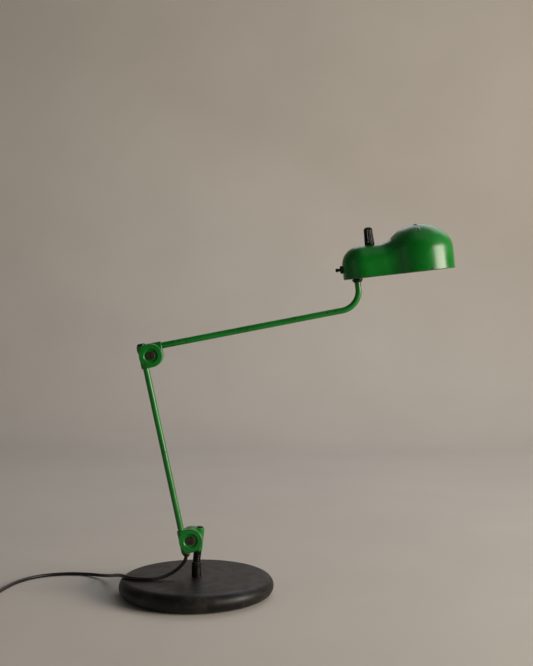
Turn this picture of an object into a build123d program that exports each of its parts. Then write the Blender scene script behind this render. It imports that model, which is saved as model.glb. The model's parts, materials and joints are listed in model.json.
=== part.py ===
from build123d import *
import math
import os

# Swing arm desk lamp: a round iron base, a post that swivels in a socket, two tube arms on
# friction joints and a pressed steel shade with a lampholder inside.
# Millimetres. The origin is the centre of the base's underside, on the table.
# +X runs from the post towards the shade, +Z is up, and the arms move in the XZ plane.

# ---- Driving dimensions ----

BASE_RADIUS = 100.0
BASE_TOP = 24.0          # height of the base's flat top above the table
PAD_THICKNESS = 1.0
RIM_RADIUS = 11.5        # round of the rim in section
BASE_WALL = 8.0          # iron of the base's top plate
COVER_THICKNESS = 2.0
COVER_RADIUS = 83.7
COVER_SEAT = 84.0
HOLLOW_RADIUS = 79.0       # at its mouth; it narrows by 3 above
HUB_RADIUS = 18.0
HUB_FACE = 9.5             # height of the hub's underside
SCREW_BOSS = 5.0
COVER_SCREW_CIRCLE = 72.0
COVER_SCREWS = 3

SOCKET_RADIUS = 6.3
SOCKET_HEIGHT = 18.6     # above the base's top
SOCKET_STEM_RADIUS = 5.0
STEM_FOOT = 3.4            # height of the stem's lower end
SOCKET_FLOOR = 13.0        # height of the bottom of the bore
SOCKET_NUT_FLATS = 17.0

POST_RADIUS = 3.5        # in the socket
POST_NECK = 3.7          # above it
POST_CLEARANCE = 0.05
POST_LEAN = 6.5          # degrees towards the shade: the post has taken a set above its socket
POST_TO_PIVOT = 29.5     # along the post, from the washer on the socket to the pivot's level
THRUST_WASHER = 0.5

TUBE_RADIUS = 4.0
TUBE_BORE = 3.0
TUBE_OFFSET = 9.6        # from a joint's pivot to the axis of the tube beside it
CASTING_RADIUS = 15.0
CASTING_THICKNESS = 11.5
CASTING_ROUND = 1.2
FRICTION_GAP = 0.75      # thickness of the washer between a joint's two castings
RECESS_RADIUS = 7.75
RECESS_MOUTH = 9.25
RECESS_DEPTH = 2.5
BOLT_RADIUS = 3.0
BOLT_CLEARANCE = 0.05
BOLT_HEAD_RADIUS = 5.2
BOLT_HEAD = 2.2
BOLT_SLOT = 1.3
NUT_FLATS = 10.0
NUT_HEIGHT = 5.0

LOWER_ARM_LENGTH = 242.3   # pivot to pivot
LOWER_ARM_LEAN = 12.0      # degrees back from upright
UPPER_ARM_RISE = 11.0      # degrees above level
UPPER_ARM_REACH = 274.8    # along the upper arm, from its pivot to the corner of its bend
BEND_RADIUS = 25.0
BEND_TURN = 85.5           # degrees that the upper tube turns up by
CORNER_TO_RIM = 36.5       # from that corner to the shade's rim plane, along the tube's end
TUBE_START = 13.0          # how far a tube runs on past its pivot's level
KNUCKLE_STEM = 12.0        # length of the knuckle's stem inside the tube

SHADE_WALL = 1.2
DOME_RADIUS = 43.5
DOME_STRAIGHT = 25.3       # height of the dome's upright wall
DOME_SHOULDER = 30.0       # radius of the shoulder's arc above that wall
DOME_HEIGHT = 61.3         # crown above the rim
DOME_CENTRE = 100.0        # from the rear wall
LOAF_HALF_WIDTH = 28.0
LOAF_HEIGHT = 40.8
LOAF_ROUND = 23.0
WAIST_ROUND = 20.0
REAR_TO_TUBE = 17.5        # from the rear wall to the tube that carries the shade
VENTS_ACROSS = (-27.0, -12.0, 12.0, 27.0)
VENT_WIDTH = 1.6
VENT_LENGTH = 6.5
TILT_HEIGHT = 12.0         # tilt axis above the rim plane

HANDLE_FROM_REAR = 38.0
HANDLE_HEIGHT = 23.3
HANDLE_FOOT_RADIUS = 6.45
HANDLE_TOP_RADIUS = 5.6
HANDLE_FLUTES = 14

SWITCH_HEIGHT = 13.4

LAMP_TILT = 12.0           # degrees that the lamp's axis rises towards the front
LAMP_FROM_REAR = 28.0      # where the holder is fixed, from the rear wall
LAMP_HEIGHT = 16.4         # the same point's height above the rim
WEB_FOOT = -9.0            # lower end of the bracket's web, from the holder's axis
GLOBE_RADIUS = 22.5

GLAND_FLANGE = 1.8
GLAND_BEND = 20.0
CORD_RADIUS = 2.25
CORD_LENGTH = 1800.0
COIL_CENTRE = (-287.0, -25.0)
COIL_INNER_RADIUS = 18.5
COIL_OUTER_RADIUS = 32.0
COIL_HEIGHT = 13.5
TIE_THICKNESS = 0.6

# ---- Places that follow from them ----

FRONT_Y = -(CASTING_THICKNESS + FRICTION_GAP)     # middle of the front castings
BOLT_SEAT_Y = FRONT_Y - CASTING_THICKNESS / 2 + RECESS_DEPTH
NUT_SEAT_Y = CASTING_THICKNESS / 2 - RECESS_DEPTH
SOCKET_TOP = BASE_TOP + SOCKET_HEIGHT
POST_FOOT = SOCKET_TOP + THRUST_WASHER

post = Pos(0, 0, POST_FOOT) * Rot(0, POST_LEAN, 0)
lower_pivot = (post * Pos(-TUBE_OFFSET, 0, POST_TO_PIVOT)).position
lower_arm = Pos(lower_pivot) * Rot(0, -LOWER_ARM_LEAN, 0)
upper_pivot = (lower_arm * Pos(0, 0, LOWER_ARM_LENGTH)).position
upper_arm = Pos(upper_pivot) * Rot(0, 90 - UPPER_ARM_RISE, 0)
bend_corner = upper_arm * Pos(-TUBE_OFFSET, 0, UPPER_ARM_REACH)
head = bend_corner * Rot(0, -BEND_TURN, 0) * Pos(0, 0, CORNER_TO_RIM)
tilt_axis = (head * Pos(0, 0, TILT_HEIGHT)).position
shade_place = head * Pos(-REAR_TO_TUBE, 0, 0)
lamp_axis = shade_place * Pos(LAMP_FROM_REAR, 0, LAMP_HEIGHT) * Rot(0, 90 - LAMP_TILT, 0)
switch_axis = shade_place * Pos(0, 0, SWITCH_HEIGHT) * Rot(0, -90, 0)

parts = {}


# ---- Helpers ----

def tube_y(radius, start, end):
    """A round bar along Y from start to end."""
    bar = Cylinder(radius, end - start, rotation=(90, 0, 0))
    return Pos(0, (start + end) / 2, 0) * bar


def bar(radius, low, high):
    """A round bar along Z from low to high."""
    return Pos(0, 0, (low + high) / 2) * Cylinder(radius, high - low)


def ring(outer, inner, low, high):
    """A plain ring about Z."""
    return bar(outer, low, high) - bar(inner, low - 1, high + 1)


def hexagon(flats, bore, low, high):
    """A hexagon nut about Z, with its corners taken off."""
    nut = extrude(RegularPolygon(flats / 2, 6, major_radius=False), high - low)
    nut = Pos(0, 0, low) * nut
    corner = flats / math.sqrt(3)
    chamfered = chamfer(bar(corner, low, high).edges(), 0.6)
    return nut & chamfered - bar(bore, low - 1, high + 1)


def turned(points):
    """A solid of revolution about Z from a closed outline of (radius, height) points."""
    outline = make_face(Polyline([(r, 0, z) for r, z in points], close=True))
    return revolve(outline, Axis.Z, 360)


def along_y(shape):
    """Turns a shape built about Z so that its +Z end points along +Y."""
    return Rot(-90, 0, 0) * shape


# ---- Base ----

def base_casting():
    """Iron disc with a half-round rim, hollow below, with a boss for the socket."""
    flat = BASE_RADIUS - RIM_RADIUS
    middle = BASE_TOP - RIM_RADIUS
    hollow_top = BASE_TOP - BASE_WALL
    ledge = PAD_THICKNESS + COVER_THICKNESS
    with BuildSketch(Plane.XZ) as section:
        with BuildLine():
            Line((0, BASE_TOP), (flat, BASE_TOP))
            ThreePointArc((flat, BASE_TOP), (BASE_RADIUS, middle), (flat, middle - RIM_RADIUS))
            Polyline(
                (flat, PAD_THICKNESS),
                (COVER_SEAT, PAD_THICKNESS),
                (COVER_SEAT, ledge),
                (HOLLOW_RADIUS, ledge),
                (HOLLOW_RADIUS - 3, hollow_top),
                (HUB_RADIUS, hollow_top),
                (HUB_RADIUS - 3, HUB_FACE),
                (0, HUB_FACE),
                (0, BASE_TOP),
            )
        make_face()
    body = revolve(section.sketch, Axis.Z, 360)
    for at in PolarLocations(COVER_SCREW_CIRCLE, COVER_SCREWS):
        body += at * bar(SCREW_BOSS, ledge, hollow_top + 1)
        body -= at * bar(1.6, ledge - 1, hollow_top - 1)
    body -= bar(SOCKET_STEM_RADIUS + 0.1, 0, BASE_TOP + 1)
    return body


def base_cover():
    cover = bar(COVER_RADIUS, PAD_THICKNESS, PAD_THICKNESS + COVER_THICKNESS)
    for at in PolarLocations(COVER_SCREW_CIRCLE, COVER_SCREWS):
        cover -= at * bar(2.1, 0, 5)
        cover -= at * Pos(0, 0, PAD_THICKNESS + 0.7) * Cone(3.6, 2.1, 1.4)
    return cover


def cover_screws():
    """Countersunk screws from below, as one group of separate solids."""
    top = PAD_THICKNESS + 1.4
    screw = Pos(0, 0, PAD_THICKNESS + 0.7) * Cone(3.5, 2.0, 1.4) + bar(1.6, top, 13.0)
    return Compound([at * screw for at in PolarLocations(COVER_SCREW_CIRCLE, COVER_SCREWS)])


def base_ferrule():
    """Socket that the post turns in: a chamfered tube with a groove, and a stem below."""
    groove = SOCKET_TOP - 4.4
    body = turned([
        (0, STEM_FOOT),
        (SOCKET_STEM_RADIUS, STEM_FOOT),
        (SOCKET_STEM_RADIUS, BASE_TOP),
        (SOCKET_RADIUS, BASE_TOP),
        (SOCKET_RADIUS, groove),
        (SOCKET_RADIUS - 0.4, groove + 0.2),
        (SOCKET_RADIUS - 0.4, groove + 0.8),
        (SOCKET_RADIUS, groove + 1.0),
        (SOCKET_RADIUS, SOCKET_TOP - 1.0),
        (SOCKET_RADIUS - 0.8, SOCKET_TOP),
        (0, SOCKET_TOP),
    ])
    return body - bar(POST_RADIUS + POST_CLEARANCE, SOCKET_FLOOR, SOCKET_TOP + 1)


parts["base_casting"] = base_casting()
parts["base_cover"] = base_cover()
parts["base_pad"] = bar(82.0, 0, PAD_THICKNESS)
parts["cover_screws"] = cover_screws()
parts["base_ferrule"] = base_ferrule()
parts["ferrule_washer"] = ring(11.5, SOCKET_STEM_RADIUS + 0.2, HUB_FACE - 1.5, HUB_FACE)
parts["ferrule_nut"] = hexagon(SOCKET_NUT_FLATS, SOCKET_STEM_RADIUS, STEM_FOOT, HUB_FACE - 1.5)
parts["thrust_washer"] = ring(5.2, POST_RADIUS + POST_CLEARANCE, SOCKET_TOP, POST_FOOT)


# ---- Joint castings and their bolts ----

def joint_casting(tube_radius, recess_at):
    """Round cheek with a tube sleeve along one side. The pivot is along Y at the origin and
    the sleeve is parallel to Z at -X. recess_at is -1 or 1, the face with the recess."""
    half = CASTING_THICKNESS / 2
    cheek = tube_y(CASTING_RADIUS, -half, half)
    side = Pos(-TUBE_OFFSET / 2, 0) * Rectangle(TUBE_OFFSET, CASTING_THICKNESS)
    side += Pos(-TUBE_OFFSET, 0) * Circle(half)
    body = cheek + Pos(0, 0, -CASTING_RADIUS) * extrude(side, 2 * CASTING_RADIUS)
    rims = [
        edge for edge in body.edges()
        if abs(abs(edge.center().Z) - CASTING_RADIUS) < 0.01
        or (abs(abs(edge.center().Y) - half) < 0.01 and edge.center().X > 0)
    ]
    body = fillet(rims, CASTING_ROUND)
    body -= tube_y(BOLT_RADIUS + BOLT_CLEARANCE, -half - 1, half + 1)
    floor = half - RECESS_DEPTH
    recess = bar(RECESS_RADIUS, floor, half + 1)
    mouth = RECESS_MOUTH - RECESS_RADIUS
    recess += Pos(0, 0, half - mouth / 2) * Cone(RECESS_RADIUS, RECESS_MOUTH, mouth)
    body -= Rot(-90 * recess_at, 0, 0) * recess
    sleeve_bore = Cylinder(tube_radius, 2 * CASTING_RADIUS + 2)
    return body - Pos(-TUBE_OFFSET, 0, 0) * sleeve_bore


def pivot_bolt():
    """Slotted cheese-head bolt through both castings, head at the front."""
    head_back = BOLT_SEAT_Y - BOLT_HEAD
    cap = chamfer(tube_y(BOLT_HEAD_RADIUS, head_back, BOLT_SEAT_Y).edges().sort_by(Axis.Y)[0], 0.4)
    slot = Pos(0, head_back, 0) * Box(BOLT_SLOT, 2.2, 2 * BOLT_HEAD_RADIUS + 1)
    return cap + tube_y(BOLT_RADIUS, BOLT_SEAT_Y, NUT_SEAT_Y + 0.8 + NUT_HEIGHT + 0.4) - slot


def pivot_pieces(name, place):
    """The bolt, nut and washers of one arm joint, at a pivot."""
    gap_back = -CASTING_THICKNESS / 2
    nut_seat = NUT_SEAT_Y + 0.8
    parts[name + "_bolt"] = place * pivot_bolt()
    parts[name + "_friction_washer"] = place * along_y(
        ring(12.0, BOLT_RADIUS + 0.2, gap_back - FRICTION_GAP, gap_back)
    )
    parts[name + "_lock_washer"] = place * along_y(ring(6.0, BOLT_RADIUS + 0.1, NUT_SEAT_Y, nut_seat))
    parts[name + "_nut"] = place * along_y(
        hexagon(NUT_FLATS, BOLT_RADIUS, nut_seat, nut_seat + NUT_HEIGHT)
    )


def tube_cap(radius, height):
    """Domed plug for the open end of a casting's sleeve, standing on the plane z = 0."""
    disc = bar(radius, 0, height)
    return fillet(disc.edges().sort_by(Axis.Z)[-1], 0.6 * height)


# ---- Turret: the post and the casting on it ----

def post_pin():
    """Steel pin, upright in the socket and leaning above it, up to the casting's top."""
    leaning = post * bar(POST_NECK, -1.0, POST_TO_PIVOT + CASTING_RADIUS - 0.5)
    return bar(POST_RADIUS, SOCKET_FLOOR + 1, POST_FOOT) + (leaning - bar(10, 0, POST_FOOT))


def post_sleeve():
    """Bakelite spacer between the socket and the casting, slightly wider at its top."""
    length = POST_TO_PIVOT - CASTING_RADIUS
    outer = Pos(0, 0, length / 2 - 1) * Cone(4.95, 5.25, length + 2)
    for height in (3.4, 5.6, 7.8, 10.0):
        outer -= Pos(0, 0, height) * (Torus(5.35, 0.42))
    body = post * (outer & bar(8, -1, length))
    body -= post * bar(POST_NECK, -3, length + 1)
    return body - bar(9, 0, POST_FOOT)


pivot_height = post * Pos(-TUBE_OFFSET, 0, POST_TO_PIVOT)
parts["post_pin"] = post_pin()
parts["post_sleeve"] = post_sleeve()
parts["lower_joint_rear"] = pivot_height * Rot(0, 180, 0) * joint_casting(POST_NECK, 1)
parts["post_cap"] = post * Pos(0, 0, POST_TO_PIVOT + CASTING_RADIUS) * tube_cap(3.9, 1.6)
pivot_pieces("lower_pivot", Pos(lower_pivot) * Rot(0, POST_LEAN, 0))


# ---- Lower arm ----

gland_bend = Pos(0, 0, -GLAND_FLANGE) * Rot(0, GLAND_BEND, 0)


def cord_gland():
    """Short rubber bush in the lower casting's open end, z = 0. Its nozzle is bent back by
    the weight of the cord."""
    flange = bar(4.7, -GLAND_FLANGE, 0)
    spigot = bar(TUBE_BORE, 0, 2.0)
    nozzle = gland_bend * Pos(0, 0, -0.7) * Cone(3.5, 4.5, 2.6) & bar(6, -6, 0)
    body = flange + spigot + nozzle
    return body - bar(CORD_RADIUS, -GLAND_FLANGE, 3) - gland_bend * bar(CORD_RADIUS, -4, 1.2)


arm_tube_place = lower_arm * Pos(-TUBE_OFFSET, FRONT_Y, 0)
gland_place = arm_tube_place * Pos(0, 0, -CASTING_RADIUS)
sleeve_top = LOWER_ARM_LENGTH + CASTING_RADIUS
parts["lower_joint_front"] = lower_arm * Pos(0, FRONT_Y, 0) * joint_casting(TUBE_RADIUS, -1)
parts["upper_joint_front"] = (
    lower_arm * Pos(0, FRONT_Y, LOWER_ARM_LENGTH) * joint_casting(TUBE_RADIUS, -1)
)
parts["lower_tube"] = arm_tube_place * ring(
    TUBE_RADIUS, TUBE_BORE, -TUBE_START, LOWER_ARM_LENGTH + TUBE_START
)
parts["cord_gland"] = gland_place * cord_gland()
parts["lower_tube_cap"] = arm_tube_place * Pos(0, 0, sleeve_top) * tube_cap(5.2, 2.4)
parts["lower_lead"] = arm_tube_place * bar(CORD_RADIUS, -CASTING_RADIUS - 1.0, sleeve_top - 4)


# ---- Upper arm ----

def upper_path(start):
    """Middle line of the upper tube: straight, one bend up, and a short upright end."""
    turn = math.radians(BEND_TURN)
    end = CORNER_TO_RIM - 0.8
    return FilletPolyline(
        (-TUBE_OFFSET, 0, start),
        (-TUBE_OFFSET, 0, UPPER_ARM_REACH),
        (-TUBE_OFFSET - end * math.sin(turn), 0, UPPER_ARM_REACH + end * math.cos(turn)),
        radius=BEND_RADIUS,
    )


def swept_bar(radius, start):
    """A round bar along the upper tube's middle line."""
    path = upper_path(start)
    return sweep(Plane(path @ 0, z_dir=path % 0) * Circle(radius), path)


def head_collar():
    """Black cone on the tube's end that the shade's knuckle turns on."""
    body = turned([(0, -5.0), (4.7, -5.0), (6.6, -2.2), (7.0, -2.0), (7.0, -0.8), (0, -0.8)])
    return body - bar(TUBE_RADIUS, -6, 1)


parts["upper_joint_rear"] = upper_arm * joint_casting(TUBE_RADIUS, 1)
parts["upper_tube"] = upper_arm * (swept_bar(TUBE_RADIUS, -TUBE_START) - swept_bar(TUBE_BORE, -TUBE_START))
parts["upper_tube_cap"] = (
    upper_arm * Pos(-TUBE_OFFSET, 0, -CASTING_RADIUS) * Rot(180, 0, 0) * tube_cap(5.2, 2.4)
)
knuckle_room = bend_corner * Rot(0, -BEND_TURN, 0) * bar(8, CORNER_TO_RIM - 15, 50)
parts["upper_lead"] = upper_arm * swept_bar(CORD_RADIUS, -TUBE_START + 2) - knuckle_room
parts["head_collar"] = head * head_collar()
pivot_pieces("upper_pivot", Pos(upper_pivot) * Rot(0, -LOWER_ARM_LEAN, 0))


# ---- Neck: the knuckle that swivels in the tube's end ----

def head_knuckle():
    """Hollow stem in the tube, a flange on the collar and an eye for the tilt screw."""
    body = bar(TUBE_BORE - POST_CLEARANCE, -KNUCKLE_STEM, 0) + bar(6.0, -0.8, 1.2)
    stalk = Pos(0, 0, 6.5) * Box(5.6, 6.0, 11.0)
    eye = Pos(0, 0, TILT_HEIGHT) * tube_y(4.5, -3.0, 3.0)
    body += stalk + eye
    body -= Pos(0, 0, TILT_HEIGHT) * tube_y(2.05, -4, 4)
    body -= bar(1.4, -KNUCKLE_STEM - 1, 5.0)
    return body - Pos(-3, 0, 3.8) * Box(6.5, 2.4, 2.4)


parts["head_knuckle"] = head * head_knuckle()


# ---- Shade ----

def crown_radius():
    """Radius of the crown's arc, which runs on smoothly from the shoulder's arc."""
    across = DOME_RADIUS - DOME_SHOULDER
    up = DOME_HEIGHT - DOME_STRAIGHT
    return (across**2 + up**2 - DOME_SHOULDER**2) / (2 * (up - DOME_SHOULDER))


def arc_point(centre, radius, angle):
    return (centre[0] + radius * math.cos(angle), centre[1] + radius * math.sin(angle))


def dome_section(inset):
    """Half section of the dome: upright wall, shoulder arc and crown arc."""
    wall = DOME_RADIUS - inset
    top = DOME_HEIGHT - inset
    shoulder = (DOME_RADIUS - DOME_SHOULDER, DOME_STRAIGHT)
    crown = (0, DOME_HEIGHT - crown_radius())
    meet = math.atan2(shoulder[1] - crown[1], shoulder[0])
    side_radius = DOME_SHOULDER - inset
    top_radius = crown_radius() - inset
    join = arc_point(crown, top_radius, meet)
    with BuildSketch(Plane.XZ) as section:
        with BuildLine():
            Polyline((0, top), (0, 0), (wall, 0), (wall, DOME_STRAIGHT))
            ThreePointArc((wall, DOME_STRAIGHT), arc_point(shoulder, side_radius, meet / 2), join)
            ThreePointArc(join, arc_point(crown, top_radius, (meet + math.pi / 2) / 2), (0, top))
        make_face()
    return section.sketch


def shade_form(inset):
    """Outer form of the shade, taken in all round by inset: a straight-sided dome in front, a
    rounded loaf behind it, and a hollow round where they meet. Rear wall at x = 0."""
    dome = Pos(DOME_CENTRE, 0, 0) * revolve(dome_section(inset), Axis.Z, 360)
    half_width = LOAF_HALF_WIDTH - inset
    reach = 64.0
    plan = Pos(LOAF_HALF_WIDTH, 0) * Circle(half_width)
    plan += Pos(LOAF_HALF_WIDTH + reach / 2, 0) * Rectangle(reach, 2 * half_width)
    loaf = extrude(plan, LOAF_HEIGHT - inset)
    top_edges = loaf.faces().sort_by(Axis.Z)[-1].edges().filter_by(lambda e: e.center().X < 90)
    loaf = fillet(top_edges, LOAF_ROUND - inset)
    body = dome + loaf
    waist = body.edges().filter_by(lambda e: 50 < e.center().X < 85 and e.center().Z > 0.5)
    return fillet(waist, WAIST_ROUND + inset)


def vent_cutter():
    """Four short louvre slots across the dome, near its crown, each square to the dome."""
    slots = []
    for across in VENTS_ACROSS:
        angle = math.degrees(math.asin(across / (DOME_HEIGHT - 10)))
        square_on = Pos(DOME_CENTRE - 3, 0, 10) * Rot(-angle, 0, 0)
        slots.append(square_on * Pos(0, 0, 40) * Box(VENT_WIDTH, VENT_LENGTH, 40))
    return slots


def shade():
    body = shade_form(0) - shade_form(SHADE_WALL)
    for slot in vent_cutter():
        body -= slot
    body -= Pos(HANDLE_FROM_REAR, 0, LOAF_HEIGHT) * Cylinder(2.6, 10)
    body -= Pos(0, 0, SWITCH_HEIGHT) * Rot(0, 90, 0) * Cylinder(3.5, 20)
    return body


parts["shade"] = shade_place * shade()


# ---- Head: bracket, tilt screw, handle, lampholder, lamp and switch ----

def tilt_bracket():
    """Bent strip under the shade's top: two ears for the tilt screw and a web for the holder."""
    top = LOAF_HEIGHT - SHADE_WALL - 0.1
    body = Pos(30, 0, top - 1) * Box(34, 11, 2)
    for side in (-1, 1):
        ear = Pos(REAR_TO_TUBE, side * 4.2, (TILT_HEIGHT + top) / 2) * Box(9, 2, top - TILT_HEIGHT)
        foot = Pos(REAR_TO_TUBE, 0, TILT_HEIGHT) * tube_y(4.5, side * 4.2 - 1, side * 4.2 + 1)
        body += ear + foot
    web = Pos(LAMP_FROM_REAR, 0, LAMP_HEIGHT) * Rot(0, -LAMP_TILT, 0)
    web_top = (top - LAMP_HEIGHT) / math.cos(math.radians(LAMP_TILT))
    body += web * Pos(0, 0, (web_top + WEB_FOOT) / 2) * Box(2, 16, web_top - WEB_FOOT)
    body -= Pos(REAR_TO_TUBE, 0, TILT_HEIGHT) * tube_y(2.02, -10, 10)
    body -= Pos(HANDLE_FROM_REAR, 0, top) * Cylinder(2.6, 10)
    body -= web * Rot(0, 90, 0) * Cylinder(5.0, 8)
    return body & shade_form(SHADE_WALL + 0.15)


def handle():
    """Fluted bakelite handle with a domed top, standing on the shade."""
    core = Pos(0, 0, (HANDLE_HEIGHT - 4) / 2) * Cone(HANDLE_FOOT_RADIUS, HANDLE_TOP_RADIUS, HANDLE_HEIGHT - 4)
    crown = Pos(0, 0, HANDLE_HEIGHT - 4) * (Sphere(HANDLE_TOP_RADIUS) & bar(9, 0, 4))
    body = core + crown
    for at in PolarLocations(HANDLE_FOOT_RADIUS + 0.35, HANDLE_FLUTES):
        body -= at * bar(0.75, 2.0, HANDLE_HEIGHT + 1)
    return body - bar(2.5, -1, 12.5)


def handle_screw():
    under = LOAF_HEIGHT - SHADE_WALL - 2.1
    return bar(4.4, under - 2.6, under) + bar(2.5, under, LOAF_HEIGHT + 11.5)


def tilt_screw():
    """Pan-head screw along Y through the bracket's ears and the knuckle's eye."""
    head_end = fillet(tube_y(3.6, -7.6, -5.2).edges().sort_by(Axis.Y)[0], 1.0)
    return head_end + tube_y(2.0, -5.2, 9.0)


def lampholder():
    """Bakelite holder for a small screw lamp, along z from its rear face at z = 1."""
    body = bar(7.0, 1.0, 6.0) + Pos(0, 0, 8.0) * Cone(7.0, 12.0, 4.0) + bar(12.0, 10.0, 33.0)
    body -= bar(7.2, 12.0, 34.0)
    return body - bar(5.0, 0, 9.0)


def lamp_cap():
    """Screw cap of the lamp, with its tip contact."""
    shell = bar(6.7, 17.0, 34.0)
    for turn in range(4):
        shell += Pos(0, 0, 20.5 + 3.0 * turn) * Torus(6.6, 0.5)
    return shell + Pos(0, 0, 15.5) * Cone(2.6, 5.4, 3.0)


def lamp_globe():
    """Round glass envelope with a short neck, closed on the cap."""
    centre = 67.0
    outer = Sphere(GLOBE_RADIUS)
    neck = Pos(0, 0, -24.0) * Cone(6.6, 14.0, 18.0)
    body = Pos(0, 0, centre) * (outer + neck)
    inner = Sphere(GLOBE_RADIUS - 0.8) + Pos(0, 0, -24.0) * Cone(5.8, 13.2, 18.0)
    return body - Pos(0, 0, centre) * inner


def switch_body():
    """Push switch: a threaded barrel through the rear wall and a round case inside it."""
    barrel = bar(3.45, -9.0, 3.5)
    case = bar(5.0, -10.5, -1.8)
    return case + barrel - bar(2.35, -8.5, 4.5)


def push_button():
    """Plunger with a slightly thinner neck, at rest, sticking out along +z."""
    return bar(2.3, 5.6, 9.2) + bar(1.9, 3.0, 5.6) + bar(2.3, -6.0, 3.0)


def head_wires():
    """The two insulated wires from the switch to the lampholder, in the shade's frame."""
    wires = []
    for side in (-1, 1):
        route = FilletPolyline(
            (11.4, side * 2.4, 17.0),
            (12.7, side * 10.5, 20.5),
            (24.0, side * 10.5, 21.5),
            (31.5, side * 9.4, 25.5),
            radius=2.5,
        )
        wires.append(sweep(Plane(route @ 0, z_dir=route % 0) * Circle(0.8), route))
    return Compound(wires)


parts["tilt_bracket"] = shade_place * tilt_bracket()
parts["tilt_screw"] = head * Pos(0, 0, TILT_HEIGHT) * tilt_screw()
parts["tilt_nut"] = head * Pos(0, 0, TILT_HEIGHT) * along_y(hexagon(7.0, 2.0, 5.2, 8.4))
parts["handle"] = shade_place * Pos(HANDLE_FROM_REAR, 0, LOAF_HEIGHT) * handle()
parts["handle_screw"] = shade_place * Pos(HANDLE_FROM_REAR, 0, 0) * handle_screw()
parts["lampholder"] = lamp_axis * lampholder()
parts["holder_nipple"] = lamp_axis * ring(5.0, 3.6, -4.0, 9.0)
parts["holder_nut"] = lamp_axis * hexagon(13.0, 5.0, -3.6, -1.0)
parts["lamp_cap"] = lamp_axis * lamp_cap()
parts["lamp_globe"] = lamp_axis * lamp_globe()
parts["switch_body"] = switch_axis * switch_body()
parts["switch_nut"] = switch_axis * fillet(ring(4.9, 3.45, 0, 3.2).edges().group_by(Axis.Z)[-1], 0.4)
parts["push_button"] = switch_axis * push_button()
parts["head_wires"] = shade_place * head_wires()


# ---- Cord: from the gland over the base to the coil, then the plug ----

CORD_ON_BASE = BASE_TOP + CORD_RADIUS + 0.15
CORD_ON_TABLE = CORD_RADIUS + 0.05
coil_entry = (COIL_CENTRE[0] + COIL_OUTER_RADIUS - CORD_RADIUS, COIL_CENTRE[1] + 8.0)
cord_route = [
    (-12.37, FRONT_Y, 53.05),
    (-13.0, FRONT_Y, 48.6),
    (-16.2, -12.5, 43.4),
    (-21.6, -13.2, 37.9),
    (-28.6, -14.6, 32.9),
    (-37.5, -17.4, 28.6),
    (-49.0, -21.5, CORD_ON_BASE),
    (-64.0, -25.0, CORD_ON_BASE),
    (-80.0, -22.5, CORD_ON_BASE),
    (-91.0, -11.0, 26.3),
    (-99.5, 5.0, 23.8),
    (-108.0, 27.0, 18.2),
    (-119.0, 54.0, 10.6),
    (-135.0, 80.0, 4.3),
    (-157.0, 95.5, CORD_ON_TABLE),
    (-184.0, 98.0, CORD_ON_TABLE),
    (-211.0, 91.0, CORD_ON_TABLE),
    (-232.0, 75.0, CORD_ON_TABLE),
    (-245.5, 52.0, CORD_ON_TABLE),
    (-252.5, 28.0, CORD_ON_TABLE),
    (coil_entry[0], 5.0, CORD_ON_TABLE),
    (coil_entry[0], coil_entry[1], CORD_ON_TABLE),
]


def corner_radii(points):
    """Radius at each corner: 0.45 of its shorter run over the tangent of half its turn."""
    radii = []
    for before, here, after in zip(points, points[1:], points[2:]):
        a = Vector(*here) - Vector(*before)
        b = Vector(*after) - Vector(*here)
        half_turn = math.radians(a.get_angle(b)) / 2
        radii.append(0.45 * min(a.length, b.length) / math.tan(half_turn))
    return radii


def cord_tube(points):
    radii = corner_radii(points)
    path = FilletPolyline(*points, radius=radii)
    tube = sweep(Plane(path @ 0, z_dir=path % 0) * Circle(CORD_RADIUS), path)
    print("cord radii", [round(r, 1) for r in radii])
    section = math.pi * CORD_RADIUS**2
    print("cord run", round(path.length, 1), "volume ratio", round(tube.volume / (section * path.length), 4))
    return tube, path.length


def coil_tie():
    """Flat strip closed round the coil's section at its front."""
    middle = (COIL_INNER_RADIUS + COIL_OUTER_RADIUS) / 2
    wide = COIL_OUTER_RADIUS - COIL_INNER_RADIUS
    outer = Box(5.0, wide + 2.6, COIL_HEIGHT + 2 * TIE_THICKNESS)
    inner = Box(6.0, wide + 1.4, COIL_HEIGHT)
    loop = outer - inner
    return Pos(COIL_CENTRE[0], COIL_CENTRE[1] - middle, COIL_HEIGHT / 2 + TIE_THICKNESS) * loop


def plug(at):
    """Two-pin plug on its side, pins along +Y, with its boot behind it."""
    body = Pos(0, 17.5, 0) * Box(14.0, 35.0, 13.6)
    body = fillet(body.edges(), 2.6)
    boot = Pos(0, -5.5, 0) * Rot(-90, 0, 0) * Cone(3.0, 5.2, 11.0)
    boot -= tube_y(CORD_RADIUS, -12, -8)
    pins = [Pos(0, 0, side * 4.0) * tube_y(2.0, 35.0, 54.0) for side in (-1, 1)]
    pins = [fillet(pin.edges().sort_by(Axis.Y)[-1], 0.9) for pin in pins]
    parts["plug_body"] = at * body
    parts["plug_boot"] = at * boot
    parts["plug_pins"] = at * Compound(pins)


tube, free_run = cord_tube(cord_route)
coil = ring(COIL_OUTER_RADIUS, COIL_INNER_RADIUS, TIE_THICKNESS, TIE_THICKNESS + COIL_HEIGHT)
parts["cord_coil"] = Pos(COIL_CENTRE[0], COIL_CENTRE[1], 0) * coil
parts["cord_free"] = tube - parts["cord_coil"]
parts["coil_tie"] = coil_tie()
plug(Pos(COIL_CENTRE[0] - COIL_OUTER_RADIUS - 5.0, COIL_CENTRE[1] + 20.0, 6.9))
mean_turn = math.pi * (COIL_INNER_RADIUS + COIL_OUTER_RADIUS)
print("coil turns", round((CORD_LENGTH - free_run) / mean_turn, 2))


# ---- Writing ----

def write_parts():
    os.makedirs("parts", exist_ok=True)
    for name, shape in parts.items():
        export_step(shape, "parts/" + name + ".step")
    print("nodes", len(parts))


write_parts()
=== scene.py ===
import json
import math

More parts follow.
